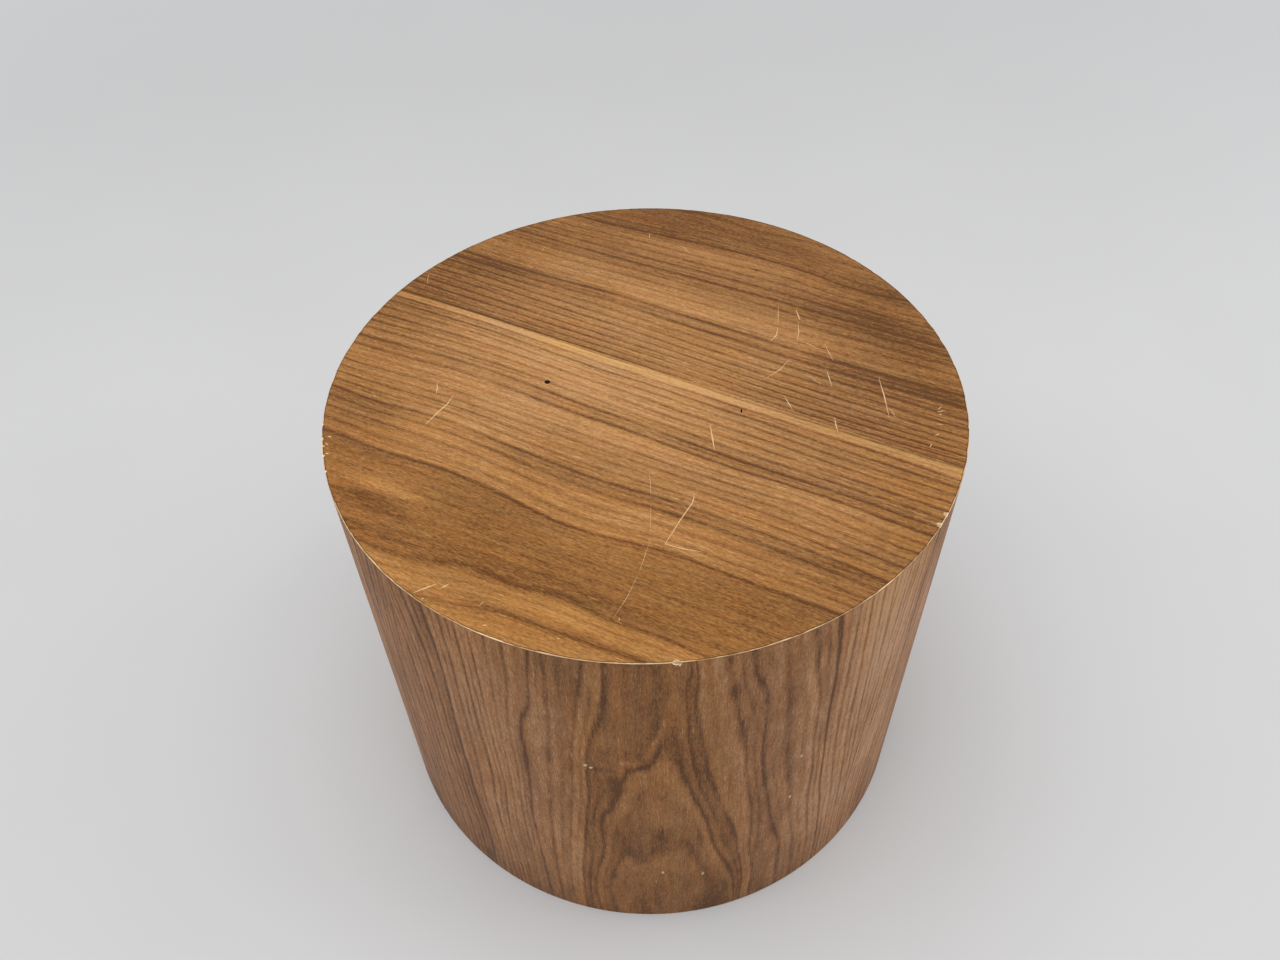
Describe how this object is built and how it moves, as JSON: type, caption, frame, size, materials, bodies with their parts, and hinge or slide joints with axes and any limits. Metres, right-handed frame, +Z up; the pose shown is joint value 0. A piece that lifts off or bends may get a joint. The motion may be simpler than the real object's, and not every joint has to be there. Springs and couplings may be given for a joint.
{
  "type": "drum side table",
  "caption": "Round drum side table: straight walnut-veneered cylinder with a flush top, on screw-in levelling feet under its lower edge.",
  "frame": {"origin": "on the floor, on the drum's own axis, with the levelling feet screwed right in", "axes": "+Z up along the drum's axis; -Y is the front; +X is the right-hand side seen from the front"},
  "size_m": [0.508, 0.508, 0.432],
  "materials": {
    "top_veneer": "satin lacquer",
    "side_veneer": "satin lacquer",
    "board": "raw",
    "backing_veneer": "raw",
    "bending_plywood": "raw",
    "plywood": "raw",
    "softwood": "planed",
    "hardboard": "smooth pressed",
    "zinc_steel": "zinc plated",
    "nylon": "moulded"
  },
  "bodies": {
    "drum": {"top_leaf_front": "top_veneer", "top_leaf_back": "top_veneer", "top_disc": "board", "top_backer": "backing_veneer", "side_leaf_front": "side_veneer", "side_leaf_right": "side_veneer", "side_leaf_back": "side_veneer", "side_leaf_left": "side_veneer", "outer_wrap": "bending_plywood", "inner_wrap": "bending_plywood", "top_former": "plywood", "mid_former": "plywood", "bottom_former": "plywood", "post_1": "softwood", "post_2": "softwood", "post_3": "softwood", "post_4": "softwood", "post_5": "softwood", "post_6": "softwood", "post_7": "softwood", "post_8": "softwood", "top_screws": "zinc_steel", "dust_panel": "hardboard", "dust_panel_screws": "zinc_steel", "tee_nuts": "zinc_steel"},
    "foot_back_right": {"foot_stem_back_right": "zinc_steel", "foot_pad_back_right": "nylon"},
    "foot_back_left": {"foot_stem_back_left": "zinc_steel", "foot_pad_back_left": "nylon"},
    "foot_front_left": {"foot_stem_front_left": "zinc_steel", "foot_pad_front_left": "nylon"},
    "foot_front_right": {"foot_stem_front_right": "zinc_steel", "foot_pad_front_right": "nylon"}
  },
  "joints": [
    {"name": "foot_back_right_screw", "type": "slide", "parent": "drum", "child": "foot_back_right", "axis": [0, 0, -1], "range_m": [0, 0.012]},
    {"name": "foot_back_left_screw", "type": "slide", "parent": "drum", "child": "foot_back_left", "axis": [0, 0, -1], "range_m": [0, 0.012]},
    {"name": "foot_front_left_screw", "type": "slide", "parent": "drum", "child": "foot_front_left", "axis": [0, 0, -1], "range_m": [0, 0.012]},
    {"name": "foot_front_right_screw", "type": "slide", "parent": "drum", "child": "foot_front_right", "axis": [0, 0, -1], "range_m": [0, 0.012]}
  ]
}
